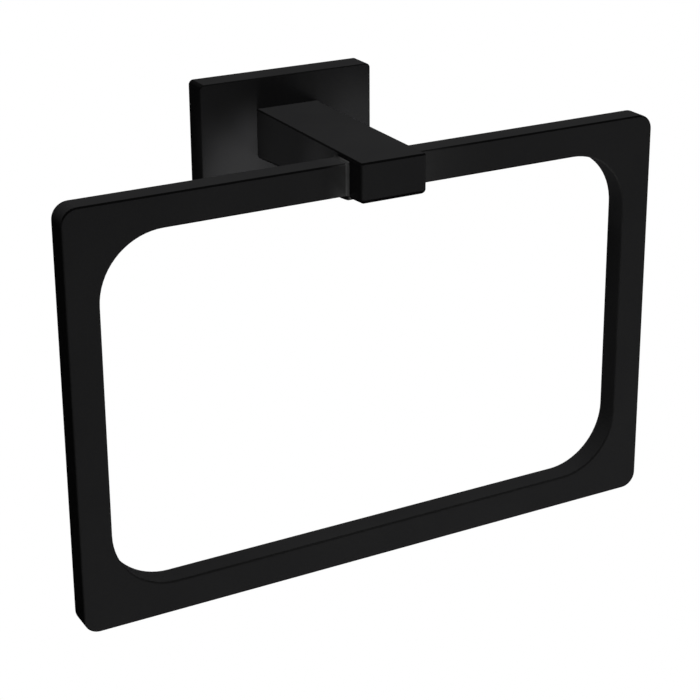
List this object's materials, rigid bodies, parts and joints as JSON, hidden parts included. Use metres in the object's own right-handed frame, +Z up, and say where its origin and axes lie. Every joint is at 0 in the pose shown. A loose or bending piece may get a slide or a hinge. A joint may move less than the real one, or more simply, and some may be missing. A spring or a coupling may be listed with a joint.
{
  "type": "towel ring",
  "caption": "Wall-mounted towel ring: a closed rectangular flat-bar ring fixed upright in a tapered arm on a rectangular wall flange, in satin black.",
  "frame": {"origin": "midway between the two wall screw holes, on the wall plane at the back of the bracket and flange", "axes": "+Z up, +Y into the wall, so the arm and ring stand out along -Y, +X to the right seen from the front"},
  "size_m": [0.2, 0.078, 0.144],
  "materials": {
    "ring_coat": "satin black powder coat",
    "arm_coat": "satin black powder coat",
    "braze_coat": "satin black powder coat over a braze bead",
    "flange_coat": "satin black powder coat",
    "bracket_zinc": "zinc plated",
    "arm_screw_steel": "zinc plated",
    "clamp_screw_steel": "black oxide"
  },
  "bodies": {
    "root": {"ring": "ring_coat", "arm": "arm_coat", "braze": "braze_coat", "wall_flange": "flange_coat", "wall_bracket": "bracket_zinc", "arm_screw_left": "arm_screw_steel", "arm_screw_right": "arm_screw_steel", "clamp_screw": "clamp_screw_steel"}
  },
  "joints": []
}
